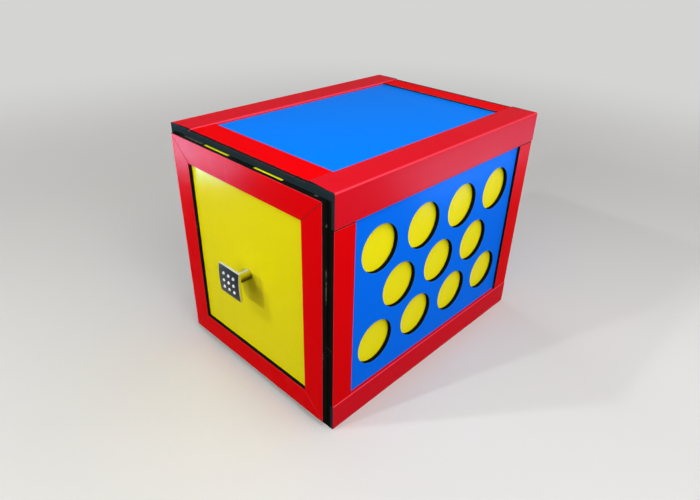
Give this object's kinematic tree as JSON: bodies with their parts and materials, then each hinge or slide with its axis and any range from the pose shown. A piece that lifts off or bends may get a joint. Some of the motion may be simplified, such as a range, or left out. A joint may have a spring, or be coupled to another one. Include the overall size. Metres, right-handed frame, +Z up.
{
  "type": "magic drawer box",
  "caption": "Tabletop conjuring cabinet with pierced sides, a framed sleeve drawer on a square knob, and a hidden tray that a turn catch can hold back.",
  "frame": {"origin": "middle of the casing's base, on the surface it stands on", "axes": "+X to the right seen from the front, +Y from the drawer front to the back, +Z up"},
  "size_m": [0.1854, 0.2685, 0.2],
  "materials": {
    "red_paint": "satin red paint, edges left dark",
    "blue_paint": "satin blue paint, cut edges dark",
    "yellow_paint": "glossy yellow paint, cut edges dark",
    "black_paint": "matt black paint",
    "chrome": "polished",
    "crystal": "cut and polished",
    "brass": "satin",
    "zinc_steel": "zinc plated"
  },
  "bodies": {
    "casing": {"back_bottom_strip": "red_paint", "back_left_strip": "red_paint", "back_right_strip": "red_paint", "back_top_strip": "red_paint", "base_board": "black_paint", "bottom_left_rail": "red_paint", "bottom_right_rail": "red_paint", "casing_back_board": "blue_paint", "casing_bottom_board": "blue_paint", "casing_left_board": "blue_paint", "casing_right_board": "blue_paint", "casing_top_board": "blue_paint", "catch_bush": "brass", "left_back_stile": "red_paint", "left_front_stile": "red_paint", "right_back_stile": "red_paint", "right_front_stile": "red_paint", "top_back_strip": "red_paint", "top_front_strip": "red_paint", "top_left_moulding": "red_paint", "top_right_moulding": "red_paint"},
    "tray": {"keeper_plate": "brass", "keeper_screws": "zinc_steel", "tray_back": "yellow_paint", "tray_floor": "yellow_paint", "tray_front": "yellow_paint", "tray_left_side": "yellow_paint", "tray_right_side": "yellow_paint"},
    "drawer": {"drawer_floor": "yellow_paint", "drawer_front_board": "yellow_paint", "drawer_left_side": "yellow_paint", "drawer_right_side": "yellow_paint", "drawer_top_rim": "yellow_paint", "front_frame_bottom": "red_paint", "front_frame_left": "red_paint", "front_frame_right": "red_paint", "front_frame_top": "red_paint", "knob_body": "chrome", "knob_crystals": "crystal", "knob_screw": "zinc_steel", "knob_washer": "zinc_steel"},
    "catch": {"catch_button": "brass", "catch_spindle": "brass", "catch_bar": "brass"}
  },
  "joints": [
    {"name": "tray_slide", "type": "slide", "parent": "casing", "child": "tray", "axis": [0, -1, 0], "range_m": [0, 0.19]},
    {"name": "drawer_slide", "type": "slide", "parent": "tray", "child": "drawer", "axis": [0, -1, 0], "range_m": [0, 0.19]},
    {"name": "catch_turn", "type": "hinge", "parent": "casing", "child": "catch", "pos_m": [0, 0.1172, 0.1], "axis": [0, 1, 0], "range_deg": [0, 90]}
  ]
}
